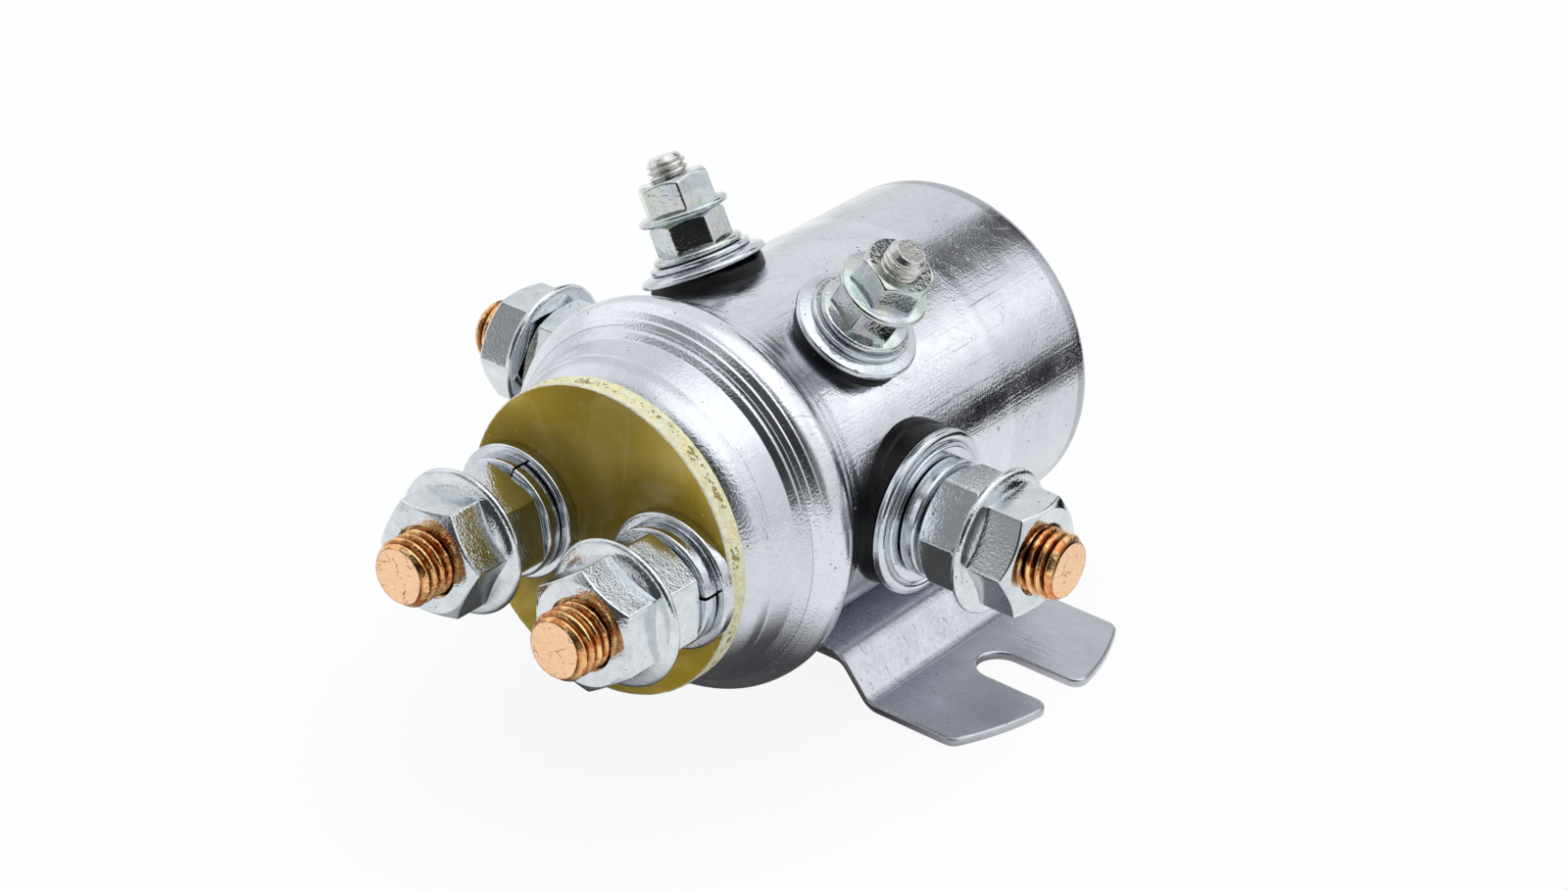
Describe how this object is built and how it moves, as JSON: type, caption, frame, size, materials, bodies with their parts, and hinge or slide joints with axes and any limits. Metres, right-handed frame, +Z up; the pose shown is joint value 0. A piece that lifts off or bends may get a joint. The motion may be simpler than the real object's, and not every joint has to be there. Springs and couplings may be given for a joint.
{
  "type": "winch relay",
  "caption": "Direct-current winch relay: a solenoid in a round drawn steel can on a slotted foot bracket, with copper terminal studs at its end and sides and small coil studs on top.",
  "frame": {"origin": "middle of the two foot slots, at floor level under the bracket", "axes": "+Y along the can from its end plate towards its closed rear, +Z up from the floor face to the coil studs, +X from the left foot to the right foot seen from the end plate"},
  "size_m": [0.1062, 0.1097, 0.0727],
  "materials": {
    "can_zinc": "bright zinc plate, mottled, fine scratches",
    "cap_zinc": "bright zinc plate, turned rings",
    "bracket_zinc": "satin zinc plate",
    "washer_zinc": "zinc plate",
    "nut_zinc": "zinc plate, lightly mottled",
    "coil_nut_zinc": "clear passivated zinc, faintly iridescent",
    "coil_stud_nickel": "bright nickel plate",
    "stud_copper": "plain copper",
    "contact_copper": "plain copper",
    "winding_copper": "enamelled copper wire",
    "end_laminate": "glass-filled laminate, half gloss",
    "inner_laminate": "laminate",
    "bush_black": "moulded black insulator",
    "bobbin_nylon": "natural nylon",
    "sleeve_nylon": "natural nylon",
    "pole_steel": "turned steel",
    "shaft_steel": "turned steel",
    "spring_steel": "spring wire"
  },
  "bodies": {
    "housing": {"can_housing": "can_zinc", "end_cap": "cap_zinc", "end_disc": "end_laminate", "inner_board": "inner_laminate", "mounting_bracket": "bracket_zinc", "pole_plate": "pole_steel", "fixed_core": "pole_steel", "coil_bobbin": "bobbin_nylon", "coil_winding": "winding_copper", "return_spring": "spring_steel", "end_stud_left": "stud_copper", "end_washer_left": "washer_zinc", "end_lock_washer_left": "washer_zinc", "end_hex_nut_left": "nut_zinc", "end_flange_nut_left": "nut_zinc", "side_stud_left": "stud_copper", "side_washer_left": "washer_zinc", "side_lock_washer_left": "washer_zinc", "side_hex_nut_left": "nut_zinc", "side_flange_nut_left": "nut_zinc", "side_outer_bush_left": "bush_black", "side_inner_bush_left": "bush_black", "coil_outer_bush_left": "bush_black", "coil_inner_bush_left": "bush_black", "coil_stud_left": "coil_stud_nickel", "coil_washer_left": "coil_nut_zinc", "coil_spacer_left": "coil_nut_zinc", "coil_lower_nut_left": "coil_nut_zinc", "coil_upper_nut_left": "coil_nut_zinc", "coil_lead_left": "winding_copper", "end_stud_right": "stud_copper", "end_washer_right": "washer_zinc", "end_lock_washer_right": "washer_zinc", "end_hex_nut_right": "nut_zinc", "end_flange_nut_right": "nut_zinc", "side_stud_right": "stud_copper", "side_washer_right": "washer_zinc", "side_lock_washer_right": "washer_zinc", "side_hex_nut_right": "nut_zinc", "side_flange_nut_right": "nut_zinc", "side_outer_bush_right": "bush_black", "side_inner_bush_right": "bush_black", "coil_outer_bush_right": "bush_black", "coil_inner_bush_right": "bush_black", "coil_stud_right": "coil_stud_nickel", "coil_washer_right": "coil_nut_zinc", "coil_spacer_right": "coil_nut_zinc", "coil_lower_nut_right": "coil_nut_zinc", "coil_upper_nut_right": "coil_nut_zinc", "coil_lead_right": "winding_copper"},
    "plunger": {"plunger": "pole_steel", "plunger_shaft": "shaft_steel", "shaft_sleeve": "sleeve_nylon", "front_stop_ring": "shaft_steel", "spring_seat": "shaft_steel", "rear_stop_ring": "shaft_steel", "closed_contact_spring": "spring_steel", "open_contact_spring": "spring_steel"},
    "closed_contact": {"closed_contact_disc": "contact_copper"},
    "open_contact": {"open_contact_disc": "contact_copper"}
  },
  "joints": [
    {"name": "plunger_travel", "type": "slide", "parent": "housing", "child": "plunger", "axis": [0, 1, 0], "range_m": [0, 0.003], "stiffness_N_per_m": 500, "springref_m": -0.006, "deforming": ["return_spring"]},
    {"name": "closed_contact_float", "type": "slide", "parent": "plunger", "child": "closed_contact", "axis": [0, 1, 0], "range_m": [0, 0.001], "stiffness_N_per_m": 300, "springref_m": -0.002, "deforming": ["closed_contact_spring"]},
    {"name": "open_contact_float", "type": "slide", "parent": "plunger", "child": "open_contact", "axis": [0, 1, 0], "range_m": [-0.001, 0], "stiffness_N_per_m": 300, "springref_m": 0.002, "deforming": ["open_contact_spring"]}
  ]
}
